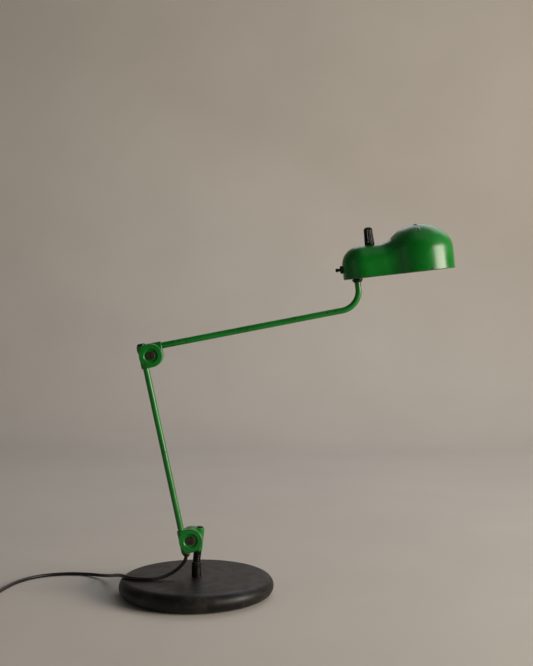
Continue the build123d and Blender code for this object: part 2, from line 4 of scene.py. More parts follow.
import bmesh
import bpy
import numpy as np
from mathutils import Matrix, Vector


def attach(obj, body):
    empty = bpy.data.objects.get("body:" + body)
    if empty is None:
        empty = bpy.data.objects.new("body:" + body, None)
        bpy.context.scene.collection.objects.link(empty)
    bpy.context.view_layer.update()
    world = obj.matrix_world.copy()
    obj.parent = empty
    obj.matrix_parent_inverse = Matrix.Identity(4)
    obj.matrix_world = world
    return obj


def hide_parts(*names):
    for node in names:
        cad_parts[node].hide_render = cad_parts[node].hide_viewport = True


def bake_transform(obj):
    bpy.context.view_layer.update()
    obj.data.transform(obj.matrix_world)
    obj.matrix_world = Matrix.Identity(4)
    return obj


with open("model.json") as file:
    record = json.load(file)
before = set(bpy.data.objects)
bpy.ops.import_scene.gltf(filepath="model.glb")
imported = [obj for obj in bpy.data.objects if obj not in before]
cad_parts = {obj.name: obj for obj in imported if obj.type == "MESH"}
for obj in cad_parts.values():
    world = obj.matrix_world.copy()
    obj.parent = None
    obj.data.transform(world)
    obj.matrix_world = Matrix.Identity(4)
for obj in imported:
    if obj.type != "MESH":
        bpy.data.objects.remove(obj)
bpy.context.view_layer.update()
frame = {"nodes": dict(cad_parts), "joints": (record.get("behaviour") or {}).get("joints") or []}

# Swing arm desk lamp: enamelled shade, arms and joints on a black iron base.
# Shapes are worked out in millimetres in each part's own frame and put into metres by place().

MM = 0.001
SIDES = 96                 # facets round a turned piece
TUBE_SIDES = 40            # facets round a tube
MERGE_WITHIN = 0.002       # points nearer than this are one

# ---- Sizes, in millimetres ----

BASE_RADIUS = 100.0
BASE_TOP = 24.0
RIM_RADIUS = 11.5
SCREW_CIRCLE = 72.0        # from the base's middle to the cover's screws
SOCKET_RADIUS = 6.3
SOCKET_HEIGHT = 18.6
POST_LEAN = 6.5            # degrees towards the shade
POST_FOOT = 43.1
POST_TO_PIVOT = 29.5

TUBE_RADIUS = 4.0
TUBE_BORE = 3.0
TUBE_OFFSET = 9.6
TUBE_START = 13.0
CASTING_RADIUS = 15.0
FRONT_Y = -12.25           # middle plane of the front castings
CASTING_HALF = 5.75        # from that plane to their faces
UPPER_ARM_RISE = 11.0      # degrees above level
UPPER_ARM_REACH = 274.8
BEND_RADIUS = 25.0
BEND_TURN = 85.5           # degrees
CORNER_TO_RIM = 36.5

SHADE_WALL = 1.2
DOME_RADIUS = 43.5
DOME_STRAIGHT = 25.3
DOME_SHOULDER = 30.0
DOME_HEIGHT = 61.3
DOME_CENTRE = 100.0
LOAF_HALF_WIDTH = 28.0
LOAF_HEIGHT = 40.8
LOAF_ROUND = 23.0
LOAF_REACH = 92.0          # where the loaf's straight sides end, inside the dome
WAIST_ROUND = 20.0
RAYS_FROM = 72.0           # from the rear, where the rays that find the shade's form start
RAY_REACH = 120.0          # longer than any of them
HALVINGS = 34              # leaves an error far below a micrometre
REAR_TO_TUBE = 17.5
TILT_HEIGHT = 12.0
VENT_X = 97.0
VENTS_ACROSS = (-27.0, -12.0, 12.0, 27.0)
VENT_HALF_WIDTH = 0.8
VENT_HALF_LENGTH = 3.25

HANDLE_FROM_REAR = 38.0
HANDLE_HEIGHT = 23.3
SWITCH_HEIGHT = 13.4

CORD_RADIUS = 2.25
CORD_ON_BASE = BASE_TOP + CORD_RADIUS + 0.15
CORD_ON_TABLE = CORD_RADIUS + 0.05
COIL_CENTRE = (-287.0, -25.0)
COIL_RADIUS = 29.75        # middle of the outermost turn
COIL_FLOOR = 2.85          # middle of the lowest turn above the table
COIL_TURNS = 8.3
TURNS_ACROSS = 3           # side by side in each layer
TIE_THICKNESS = 0.6
PLUG_AT = (-324.0, -5.0, 6.9)
PLUG_LENGTH = 35.0
PLUG_END_ROUND = 2.6
GRIP_AT = 12.0             # middle of the waist where fingers hold the plug


# ---- Camera, first of all ----

CAMERA_AT = (0.0907, -1.413, 0.3864)
CAMERA_DOWN = 1.927        # degrees below level
LENS = 59.46               # millimetres, for a 36 mm long side

camera = bpy.data.objects.new("camera", bpy.data.cameras.new("camera"))
camera.data.lens = LENS
camera.data.sensor_width = 36.0
camera.location = CAMERA_AT
camera.rotation_euler = (math.radians(90 - CAMERA_DOWN), 0, 0)
bpy.context.scene.collection.objects.link(camera)
bpy.context.scene.camera = camera


# ---- Frames of the moving parts ----

joints = {joint["name"]: joint for joint in frame["joints"]}


def local_frame(origin, up, side=(0, 1, 0)):
    """Turning and origin of a part's own frame: local z along up, local y along side and
    local x square to both."""
    z = np.array(up, float) / np.linalg.norm(up)
    y = np.array(side, float)
    return np.column_stack([np.cross(y, z), y, z]), np.array(origin, float)


def leaning(origin, degrees):
    """A frame in the arms' plane whose z leans from upright towards +X."""
    angle = math.radians(degrees)
    return local_frame(origin, (math.sin(angle), 0, math.cos(angle)))


def shifted(local, offset):
    """The same frame with its origin moved by offset, in its own millimetres."""
    return local[0], local[1] + local[0] @ (np.array(offset, float) * MM)


def place(points, local):
    """Points in a part's own millimetres, put where they are in metres."""
    return (points * MM) @ local[0].T + local[1]


world = local_frame((0, 0, 0), (0, 0, 1))
lower_pivot = np.array(joints["lower_pivot"]["pos_m"])
upper_pivot = np.array(joints["upper_pivot"]["pos_m"])
post = leaning((0, 0, POST_FOOT * MM), POST_LEAN)
lower_arm = local_frame(lower_pivot, upper_pivot - lower_pivot)
upper_arm = leaning(upper_pivot, 90 - UPPER_ARM_RISE)
tilt_frame = local_frame(joints["head_tilt"]["pos_m"], joints["head_swivel"]["axis"])
head = shifted(tilt_frame, (0, 0, -TILT_HEIGHT))
shade_frame = shifted(head, (-REAR_TO_TUBE, 0, 0))


# ---- Surfaces ----

def unit(vectors):
    """The same directions, one long."""
    return vectors / np.linalg.norm(vectors, axis=-1, keepdims=True)


def skin(grid, ring_rows=False, ring_columns=True, paint=0):
    """Vertices, quads and paint numbers of a surface over a grid of points, rows by columns.
    A quad joins each point to the next in its row and in the next row, and the last one
    to the first where the rows or columns close in a ring."""
    rows, columns = grid.shape[:2]
    row = np.arange(rows if ring_rows else rows - 1)[:, None]
    column = np.arange(columns if ring_columns else columns - 1)[None, :]
    next_row = (row + 1) % rows * columns
    next_column = (column + 1) % columns
    here = row * columns
    corners = [here + column, here + next_column, next_row + next_column, next_row + column]
    faces = np.stack(np.broadcast_arrays(*corners), -1)
    paints = np.broadcast_to(np.reshape(paint, (-1, 1)), faces.shape[:2])
    return grid.reshape(-1, 3), faces.reshape(-1, 4), paints.ravel()


def rounded(corners, steps=7):
    """Closed outline through (across, up, radius) corners. Each corner becomes an arc that
    touches its two runs: its middle lies on the corner's bisector, at the radius over the
    sine of half the angle."""
    table = np.array([(*corner, 0.0)[:3] for corner in corners])
    points, radius = table[:, :2], table[:, 2:]
    back = unit(np.roll(points, 1, axis=0) - points)
    onward = unit(np.roll(points, -1, axis=0) - points)
    half = np.arccos(np.clip(np.sum(back * onward, -1, keepdims=True), -1, 1)) / 2
    middle = points + unit(back + onward) * radius / np.sin(half)
    first = points + back * radius / np.tan(half) - middle
    last = points + onward * radius / np.tan(half) - middle
    sweep = (math.pi - 2 * half)[:, None]
    share = np.linspace(0, 1, steps)[None, :, None]
    arc = np.sin((1 - share) * sweep) * first[:, None] + np.sin(share * sweep) * last[:, None]
    return (middle[:, None] + arc / np.sin(sweep)).reshape(-1, 2)


def turned(outline, sides=SIDES):
    """Surface of revolution about z: each (radius, height) of the outline goes round a circle."""
    angle = np.linspace(0, 2 * math.pi, sides, endpoint=False)
    across, up = outline[:, 0:1], outline[:, 1:2]
    return np.stack([across * np.cos(angle), across * np.sin(angle), up + 0 * angle], -1)


def swept(path, radius, reference=(0, 1, 0), sides=TUBE_SIDES):
    """Round tube along a path: at each point a circle square to the path, whose first axis
    is the path's direction crossed with the reference."""
    ahead = unit(np.gradient(path, axis=0))
    first = unit(np.cross(ahead, reference))
    second = np.cross(first, ahead)
    angle = np.linspace(0, 2 * math.pi, sides, endpoint=False)[None, :, None]
    around = np.cos(angle) * first[:, None] + np.sin(angle) * second[:, None]
    return path[:, None] + np.reshape(radius, (-1, 1, 1)) * around


def with_ends(grid):
    """The same grid with a row gathered at the middle of each end, which closes it."""
    first = np.broadcast_to(grid[:1].mean(1, keepdims=True), grid[:1].shape)
    last = np.broadcast_to(grid[-1:].mean(1, keepdims=True), grid[-1:].shape)
    return np.concatenate([first, grid, last])


def make_mesh(name, skins, sharp=40.0):
    """One mesh from several skins, with its seams and poles merged and its faces outward."""
    starts = np.cumsum([0] + [len(points) for points, _, _ in skins])
    points = np.concatenate([points for points, _, _ in skins])
    faces = np.concatenate([faces + start for (_, faces, _), start in zip(skins, starts)])
    mesh = bpy.data.meshes.new(name)
    mesh.from_pydata(points.tolist(), [], faces.tolist())
    paints = np.concatenate([paints for _, _, paints in skins]).astype(np.int32)
    mesh.polygons.foreach_set("material_index", paints)
    work = bmesh.new()
    work.from_mesh(mesh)
    bmesh.ops.remove_doubles(work, verts=work.verts, dist=MERGE_WITHIN * MM)
    bmesh.ops.recalc_face_normals(work, faces=work.faces)
    work.to_mesh(mesh)
    work.free()
    mesh.polygons.foreach_set("use_smooth", np.ones(len(mesh.polygons), bool))
    mesh.set_sharp_from_angle(angle=math.radians(sharp))
    return mesh


def make_piece(name, skins, body, materials, stands_for=()):
    """A finished piece on its body. Its flat faces keep their own normals beside its rounds."""
    piece = bpy.data.objects.new(name, make_mesh(name, skins))
    bpy.context.scene.collection.objects.link(piece)
    for material in materials:
        piece.data.materials.append(material)
    level = piece.modifiers.new("level_faces", "WEIGHTED_NORMAL")
    level.keep_sharp = True
    if body:
        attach(piece, body)
    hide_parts(*stands_for)
    return piece


# ---- Materials ----

def linear(code):
    """Linear colour of an sRGB hex value."""
    srgb = np.array([int(code[i:i + 2], 16) for i in (1, 3, 5)]) / 255
    value = np.where(srgb <= 0.04045, srgb / 12.92, ((srgb + 0.055) / 1.055) ** 2.4)
    return (*value.tolist(), 1.0)


def add(tree, kind, inputs=(), **settings):
    """Adds one node. Settings are its properties, inputs its sockets' values or links."""
    node = tree.nodes.new("ShaderNode" + kind)
    for name, value in settings.items():
        setattr(node, name, value)
    for name, value in dict(inputs).items():
        if isinstance(value, bpy.types.NodeSocket):
            tree.links.new(value, node.inputs[name])
        else:
            node.inputs[name].default_value = value
    return node


def start_material(name, **shader_inputs):
    """A material with one Principled shader, and the point on the object that patterns read."""
    material = bpy.data.materials.new(name)
    material.use_nodes = True
    tree = material.node_tree
    tree.nodes.clear()
    values = {key.replace("_", " "): value for key, value in shader_inputs.items()}
    shader = add(tree, "BsdfPrincipled", values)
    add(tree, "OutputMaterial", {"Surface": shader.outputs[0]})
    return material, tree, shader, add(tree, "TexCoord").outputs["Object"]


def per_mm(size):
    """Texture scale for features of that size in millimetres."""
    return 1 / (size * MM)


def grain(tree, point, size, detail=2.0, roughness=0.5, low=0.0, high=1.0):
    """Cloudy pattern of that size in millimetres, stretched so that low is 0 and high is 1."""
    cloud = add(tree, "TexNoise", {
        "Vector": point, "Scale": per_mm(size), "Detail": detail, "Roughness": roughness,
    })
    return add(tree, "MapRange", {
        "Value": cloud.outputs[0], "From Min": low, "From Max": high,
    }, interpolation_type="SMOOTHSTEP").outputs[0]


def blended(tree, share, first, second):
    """Colour between two, where share is 0 for the first and 1 for the second."""
    return add(tree, "Mix", {0: share, 6: first, 7: second}, data_type="RGBA").outputs[2]


def number_between(tree, share, first, second):
    """Number between two, where share is 0 for the first and 1 for the second."""
    return add(tree, "MapRange", {"Value": share, "To Min": first, "To Max": second}).outputs[0]


def most(tree, first, second):
    """The larger of two numbers."""
    return add(tree, "Math", {0: first, 1: second}, operation="MAXIMUM").outputs[0]


def vary(tree, shader, pattern, colours, roughness):
    """Colour and roughness that both go from the first to the second value with a pattern."""
    paint = blended(tree, pattern, *map(linear, colours))
    tree.links.new(paint, shader.inputs["Base Color"])
    tree.links.new(number_between(tree, pattern, *roughness), shader.inputs["Roughness"])


def relief(tree, shader, height, depth, strength=1.0):
    """Bump of that depth in millimetres."""
    bump = add(tree, "Bump", {"Height": height, "Strength": strength, "Distance": depth * MM})
    tree.links.new(bump.outputs[0], shader.inputs["Normal"])


def near_spots(tree, point, spots):
    """1 in the middle of any of the (x, y, z, radius) spots, in metres and millimetres, and
    0 at its ragged edge and beyond."""
    ragged = add(tree, "TexNoise", {"Vector": point, "Scale": per_mm(1.1), "Detail": 3.0})
    nearest = None
    for x, y, z, radius in spots:
        away = add(tree, "VectorMath", {0: point, 1: (x, y, z)}, operation="DISTANCE")
        share = add(tree, "Math", {
            0: away.outputs["Value"], 1: radius * MM,
        }, operation="DIVIDE").outputs[0]
        if nearest is not None:
            share = add(tree, "Math", {
                0: nearest, 1: share,
            }, operation="MINIMUM").outputs[0]
        nearest = share
    rough = add(tree, "Math", {0: nearest, 1: ragged.outputs[0]}, operation="ADD").outputs[0]
    return add(tree, "MapRange", {"Value": rough, "From Min": 1.35, "From Max": 1.05}).outputs[0]


def stove_enamel(name, chips=(), scuffs=0.5):
    """Gloss stove enamel on steel: deep green, smooth with a faint orange peel, a little
    rubbed, and chipped to a brown primer with dark iron in the middle of the chips."""
    material, tree, shader, point = start_material(
        name, IOR=1.5, Coat_Weight=0.1, Coat_Roughness=0.16,
    )
    cloud = grain(tree, point, 38.0, detail=3.0, low=0.35, high=0.68)
    green = blended(tree, cloud, linear("#006C1A"), linear("#007C22"))
    along = add(tree, "Mapping", {"Vector": point, "Scale": (1.0, 1.0, 0.14)})
    strokes = grain(tree, along.outputs[0], 1.6, detail=4.0, roughness=0.6, low=0.6, high=0.78)
    patches = grain(tree, point, 22.0, detail=2.0, low=0.5, high=0.66)
    rubbed = add(tree, "Math", {0: strokes, 1: patches}, operation="MULTIPLY").outputs[0]
    rubbed = add(tree, "Math", {0: rubbed, 1: scuffs}, operation="MULTIPLY").outputs[0]
    paint = blended(tree, rubbed, green, linear("#2A8040"))
    gloss = number_between(tree, most(tree, rubbed, cloud), 0.26, 0.38)
    peel = grain(tree, point, 1.3, detail=1.0)
    if chips:
        bare = near_spots(tree, point, chips)
        edge = add(tree, "MapRange", {"Value": bare, "From Min": 0.0, "From Max": 0.25}).outputs[0]
        core = add(tree, "MapRange", {"Value": bare, "From Min": 0.45, "From Max": 0.8}).outputs[0]
        primer = blended(tree, core, linear("#4A2A20"), linear("#1C1715"))
        paint = blended(tree, edge, paint, primer)
        gloss = add(tree, "MapRange", {"Value": edge, "To Min": gloss, "To Max": 0.75}).outputs[0]
        peel = add(tree, "Math", {0: peel, 1: edge}, operation="SUBTRACT").outputs[0]
    tree.links.new(paint, shader.inputs["Base Color"])
    tree.links.new(gloss, shader.inputs["Roughness"])
    relief(tree, shader, peel, 0.035)
    return material


def cream_enamel():
    """Warm white stove enamel inside the shade: satin, yellowed a little by the lamp's heat."""
    material, tree, shader, point = start_material("stove_enamel_cream", IOR=1.5)
    cloud = grain(tree, point, 30.0, detail=3.0, low=0.35, high=0.7)
    vary(tree, shader, cloud, ("#EDE6D6", "#DCCFB4"), (0.38, 0.5))
    relief(tree, shader, grain(tree, point, 1.5, detail=1.0), 0.03)
    return material


def worn_rim():
    """The shade's rolled edge, where the enamel is rubbed through to primer in places."""
    material, tree, shader, point = start_material("enamel_worn_at_the_rim", IOR=1.5)
    wear = grain(tree, point, 9.0, detail=5.0, roughness=0.6, low=0.55, high=0.68)
    paint = blended(tree, wear, linear("#00601C"), linear("#8C7458"))
    tree.links.new(paint, shader.inputs["Base Color"])
    tree.links.new(number_between(tree, wear, 0.35, 0.6), shader.inputs["Roughness"])
    return material


def painted_iron():
    """Satin black paint on cast iron: nearly smooth, greyed by handling on its rim, with a
    dull fine scratch here and there on the flat top."""
    material, tree, shader, point = start_material(
        "satin_black_paint_on_cast_iron", Specular_IOR_Level=0.35,
    )
    axes = add(tree, "SeparateXYZ", {"Vector": point}).outputs
    flat = add(tree, "CombineXYZ", {0: axes[0], 1: axes[1]}).outputs[0]
    reach = add(tree, "VectorMath", {0: flat}, operation="LENGTH").outputs["Value"]
    rim = add(tree, "MapRange", {
        "Value": reach, "From Min": (BASE_RADIUS - 17) * MM, "From Max": (BASE_RADIUS - 7) * MM,
    }, interpolation_type="SMOOTHSTEP").outputs[0]
    blotches = grain(tree, point, 26.0, detail=6.0, roughness=0.62, low=0.45, high=0.7)
    streaks = add(tree, "Mapping", {
        "Vector": point, "Scale": (0.3, 1.0, 1.0), "Rotation": (0, 0, 0.6),
    })
    scratches = grain(tree, streaks.outputs[0], 1.4, detail=3.0, low=0.66, high=0.8)
    handled = add(tree, "Math", {0: blotches, 1: rim}, operation="MULTIPLY").outputs[0]
    faint = add(tree, "Math", {0: scratches, 1: 0.2}, operation="MULTIPLY").outputs[0]
    grey = most(tree, handled, faint)
    paint = blended(tree, grey, linear("#090808"), linear("#2A2724"))
    tree.links.new(paint, shader.inputs["Base Color"])
    cloud = grain(tree, point, 14.0, detail=4.0, low=0.35, high=0.65)
    gloss = number_between(tree, most(tree, cloud, grey), 0.42, 0.5)
    tree.links.new(gloss, shader.inputs["Roughness"])
    relief(tree, shader, grain(tree, point, 0.9, detail=4.0, roughness=0.65), 0.06, strength=0.7)
    return material


def blackened_steel():
    """Turned steel, oil blackened, with fine turning lines and rust where it meets the base."""
    material, tree, shader, point = start_material("oil_blackened_steel", Metallic=0.85)
    height = add(tree, "SeparateXYZ", {"Vector": point}).outputs[2]
    ragged = grain(tree, point, 2.0, detail=3.0)
    level = add(tree, "Math", {
        0: ragged, 1: 1.4 * MM, 2: (BASE_TOP - 0.3) * MM,
    }, operation="MULTIPLY_ADD")
    rust = add(tree, "Math", {0: level.outputs[0], 1: height}, operation="SUBTRACT").outputs[0]
    rust = add(tree, "MapRange", {"Value": rust, "From Min": 0.0, "From Max": 0.4 * MM}).outputs[0]
    turning = add(tree, "Mapping", {"Vector": point, "Scale": (0.05, 0.05, 1.0)})
    lines = grain(tree, turning.outputs[0], 0.35, detail=2.0, low=0.3, high=0.7)
    steel = blended(tree, grain(tree, point, 6.0, detail=4.0, low=0.4, high=0.7),
                    linear("#252423"), linear("#383633"))
    paint = blended(tree, rust, steel, linear("#6B3A1E"))
    tree.links.new(paint, shader.inputs["Base Color"])
    gloss = number_between(tree, most(tree, lines, rust), 0.28, 0.45)
    tree.links.new(gloss, shader.inputs["Roughness"])
    relief(tree, shader, lines, 0.01)
    return material


def browned_steel():
    """Slotted bolt heads: steel gone brown with handling and a trace of rust."""
    material, tree, shader, point = start_material("browned_bolt_steel", Metallic=0.75)
    rust = grain(tree, point, 3.0, detail=5.0, roughness=0.6, low=0.42, high=0.66)
    vary(tree, shader, rust, ("#4C423C", "#3C2A22"), (0.36, 0.7))
    relief(tree, shader, grain(tree, point, 0.5, detail=3.0), 0.03)
    return material


def plated_steel():
    """Dull zinc plate on washers, nuts, screws, the bracket and the cover."""
    material, tree, shader, point = start_material("dull_zinc_plate", Metallic=0.9)
    spangle = grain(tree, point, 4.0, detail=4.0, low=0.35, high=0.7)
    vary(tree, shader, spangle, ("#8E8C86", "#6C6A65"), (0.34, 0.52))
    return material


def bakelite():
    """Black phenolic moulding: smooth and fairly glossy, dulled with age in soft patches."""
    material, tree, shader, point = start_material(
        "black_phenolic_moulding", Specular_IOR_Level=0.3,
    )
    age = grain(tree, point, 7.0, detail=4.0, low=0.38, high=0.68)
    vary(tree, shader, age, ("#040404", "#0A0908"), (0.2, 0.34))
    relief(tree, shader, grain(tree, point, 0.7, detail=2.0), 0.012)
    return material


def soft_plastic(name, dark, light, low, high):
    """Black flexible PVC or rubber: satin, with a fine skin and a little dust in it."""
    material, tree, shader, point = start_material(name, IOR=1.5)
    dust = grain(tree, point, 12.0, detail=5.0, roughness=0.6, low=0.45, high=0.72)
    vary(tree, shader, dust, (dark, light), (low, high))
    relief(tree, shader, grain(tree, point, 0.6, detail=2.0), 0.02)
    return material


def fibre():
    """Vulcanised fibre of the friction washers: dark brown, matt and faintly mottled."""
    material, tree, shader, point = start_material("vulcanised_fibre", IOR=1.45)
    mottle = grain(tree, point, 1.5, detail=4.0)
    vary(tree, shader, mottle, ("#3A1F17", "#54301F"), (0.6, 0.8))
    return material


def felt():
    """Black wool felt pad: matt, with short matted fibres and sheen."""
    material, tree, shader, point = start_material(
        "black_wool_felt", Roughness=0.95, Sheen_Weight=0.4, Sheen_Roughness=0.5,
    )
    fibres = grain(tree, point, 0.8, detail=5.0, roughness=0.7, low=0.3, high=0.7)
    wool = blended(tree, fibres, linear("#131211"), linear("#2B2926"))
    tree.links.new(wool, shader.inputs["Base Color"])
    relief(tree, shader, fibres, 0.2)
    return material


def brass():
    """Brass of the plug's pins and the lamp's cap: yellow, dulled in patches."""
    material, tree, shader, point = start_material("dulled_brass", Metallic=1.0)
    tarnish = grain(tree, point, 3.0, detail=4.0, low=0.4, high=0.7)
    vary(tree, shader, tarnish, ("#C9A45A", "#8F6D38"), (0.24, 0.42))
    return material


def pearl_glass():
    """Lamp glass with a white powder coat inside: milky, with a gloss skin."""
    material, tree, shader, point = start_material(
        "pearl_lamp_glass", IOR=1.5, Transmission_Weight=0.25,
        Coat_Weight=0.6, Coat_Roughness=0.04,
    )
    cloud = grain(tree, point, 12.0, detail=2.0)
    vary(tree, shader, cloud, ("#F4F1E8", "#E9E4D6"), (0.3, 0.42))
    return material


def studio_paper():
    """Pale matt background paper with a barely visible tooth."""
    material, tree, shader, point = start_material("pale_background_paper", Roughness=0.9)
    tooth = grain(tree, point, 260.0, detail=3.0)
    paper = blended(tree, tooth, linear("#CBC6BE"), linear("#D3CEC6"))
    tree.links.new(paper, shader.inputs["Base Color"])
    return material


def spot_on(local, x, y, z, radius):
    """A chip at a point in a part's own millimetres, as near_spots takes it."""
    return (*place(np.array([[x, y, z]], float), local)[0].tolist(), radius)


front_face = FRONT_Y - CASTING_HALF
tube_front = FRONT_Y - TUBE_RADIUS
lower_joint_at = lower_arm
upper_joint_at = shifted(lower_arm, (0, 0, np.linalg.norm(upper_pivot - lower_pivot) / MM))

black_cord = soft_plastic("black_pvc_flex", "#070707", "#131211", 0.36, 0.5)
black_rubber = soft_plastic("black_rubber", "#080808", "#141312", 0.5, 0.7)
plug_plastic = soft_plastic("black_moulded_plug", "#090909", "#131312", 0.32, 0.48)
phenolic = bakelite()
zinc = plated_steel()
socket_steel = blackened_steel()
bolt_steel = browned_steel()
joint_enamel = stove_enamel("stove_enamel_green_joints", chips=[
    spot_on(upper_joint_at, -9.4, front_face, -9.2, 1.5),
    spot_on(upper_joint_at, -7.9, front_face, -11.3, 1.0),
    spot_on(upper_joint_at, -9.6, front_face, -13.6, 1.4),
    spot_on(lower_joint_at, 9.5, front_face, 10.8, 1.0),
    spot_on(lower_joint_at, -11.5, front_face, -13.4, 1.1),
], scuffs=0.35)
tube_enamel = stove_enamel("stove_enamel_green_tubes", chips=[
    spot_on(upper_arm, -TUBE_OFFSET - 0.6, -3.95, 231.0, 1.5),
    spot_on(upper_arm, -TUBE_OFFSET + 1.0, -4.0, 47.0, 1.3),
    spot_on(upper_arm, -TUBE_OFFSET - 2.0, -3.6, 154.0, 0.9),
    spot_on(lower_arm, -TUBE_OFFSET + 2.0, tube_front + 0.6, 118.0, 0.9),
    spot_on(lower_arm, -TUBE_OFFSET - 1.0, tube_front, 212.0, 1.2),
], scuffs=0.4)
shade_enamel = stove_enamel("stove_enamel_green_shade", chips=[
    spot_on(shade_frame, 108.0, -DOME_RADIUS + 0.7, 1.5, 2.1),
    spot_on(shade_frame, 30.0, -LOAF_HALF_WIDTH, 0.6, 2.0),
    spot_on(shade_frame, 18.0, -26.0, 0.6, 1.6),
    spot_on(shade_frame, VENT_X - 2.0, -13.0, 59.3, 1.6),
], scuffs=0.6)
cream = cream_enamel()
rim_enamel = worn_rim()
iron = painted_iron()
yellow_brass = brass()


# ---- Cord ----

cord_route = [
    (-12.37, FRONT_Y, 53.05),
    (-13.0, FRONT_Y, 48.6),
    (-16.2, -12.5, 43.4),
    (-21.6, -13.2, 37.9),
    (-28.6, -14.6, 32.9),
    (-37.5, -17.4, 28.6),
    (-49.0, -21.5, CORD_ON_BASE),
    (-64.0, -25.0, CORD_ON_BASE),
    (-80.0, -22.5, CORD_ON_BASE),
    (-91.0, -11.0, 26.3),
    (-99.5, 5.0, 23.8),
    (-108.0, 27.0, 18.2),
    (-119.0, 54.0, 10.6),
    (-135.0, 80.0, 4.3),
    (-157.0, 95.5, CORD_ON_TABLE),
    (-184.0, 98.0, CORD_ON_TABLE),
    (-211.0, 91.0, CORD_ON_TABLE),
    (-232.0, 75.0, CORD_ON_TABLE),
    (-245.5, 52.0, CORD_ON_TABLE),
    (-252.5, 28.0, CORD_ON_TABLE),
    (COIL_CENTRE[0] + COIL_RADIUS, 5.0, CORD_ON_TABLE),
    (COIL_CENTRE[0] + COIL_RADIUS, COIL_CENTRE[1] + 8.0, CORD_ON_TABLE),
]
cord_tail = [
    (-303.5, -44.0, 14.4),
    (-309.5, -39.0, 16.6),
    (-314.8, -33.5, 16.2),
    (-319.0, -28.0, 12.6),
    (-322.2, -22.5, 8.6),
    (-323.8, -17.0, 6.9),
    (PLUG_AT[0], -12.5, PLUG_AT[2]),
]


def coil_points():
    """Turns of the coil, clockwise from its outer edge: three lie side by side from the
    outside in, three on them from the inside out and the rest from the outside in. Where one
    layer runs into the next, the turn rolls up over its neighbour, so their middles stay one
    cord's width apart."""
    pitch = 2 * CORD_RADIUS
    turn = np.arange(0, COIL_TURNS, 1 / 16)
    layer = np.minimum(turn // TURNS_ACROSS, 2)
    share = turn - TURNS_ACROSS * layer
    roll = np.clip(share - 2, 0, 1) * math.pi / 2 * (layer < 2)
    rolling = (share > 2) & (layer < 2)
    straight = pitch * share
    rolled = pitch * (share - 1) + pitch * np.cos(roll)
    inward = np.where(rolling, rolled, np.minimum(straight, 2 * pitch))
    outward = 2 * pitch - inward
    across = COIL_RADIUS - np.where(layer == 1, outward, inward)
    up = COIL_FLOOR + pitch * (layer + np.sin(roll))
    angle = -2 * math.pi * turn
    x = COIL_CENTRE[0] + across * np.cos(angle)
    y = COIL_CENTRE[1] + across * np.sin(angle)
    return np.column_stack([x, y, up])


def smooth_line(points):
    """Points along the NURBS curve that has the given ones as its control points, in metres."""
    curve = bpy.data.curves.new("route", "CURVE")
    curve.dimensions = "3D"
    curve.resolution_u = 6
    spline = curve.splines.new("NURBS")
    spline.points.add(len(points) - 1)
    spline.points.foreach_set("co", np.column_stack([points * MM, np.ones(len(points))]).ravel())
    spline.order_u = 3
    spline.use_endpoint_u = True
    holder = bpy.data.objects.new("route", curve)
    line = bpy.data.meshes.new_from_object(holder)
    found = np.zeros(len(line.vertices) * 3)
    line.vertices.foreach_get("co", found)
    bpy.data.objects.remove(holder)
    return found.reshape(-1, 3)


def make_cord():
    """Round flex along its whole route, with its ends closed, and the line that it follows."""
    line = smooth_line(np.concatenate([cord_route, coil_points(), cord_tail]))
    grid = with_ends(swept(line, CORD_RADIUS * MM, reference=(0, 0, 1), sides=16))
    cord = make_piece("cord", [skin(grid)], None, [black_cord],
                      ("cord_free", "cord_coil"))
    return cord, line


def coil_tie():
    """Flat strip round the coil's front: a rounded rectangle in y and z, thick outwards and
    wide along x."""
    wide, high, strip = 7.45, 13.5, 5.0
    low = TIE_THICKNESS

    def loop(half_wide, foot, top, corner):
        """Rounded rectangle, half_wide each way and from foot to top."""
        return rounded([(-half_wide, foot, corner), (half_wide, foot, corner),
                        (half_wide, top, corner), (-half_wide, top, corner)])

    inner = loop(wide, low, low + high, 2.0)
    outer = loop(wide + TIE_THICKNESS, 0, high + 2 * low, 2.6)
    half = strip / 2
    rows = [(outer, -half), (outer, half), (inner, half), (inner, -half)]
    grid = np.stack([np.column_stack([0 * line[:, 0] + x, line]) for line, x in rows])
    middle = COIL_CENTRE[1] - COIL_RADIUS + 2 * CORD_RADIUS
    strap = skin(place(grid, shifted(world, (COIL_CENTRE[0], middle, 0))), ring_rows=True)
    return make_piece("coil_strap", [strap], "turret", [black_rubber], ("coil_tie",))


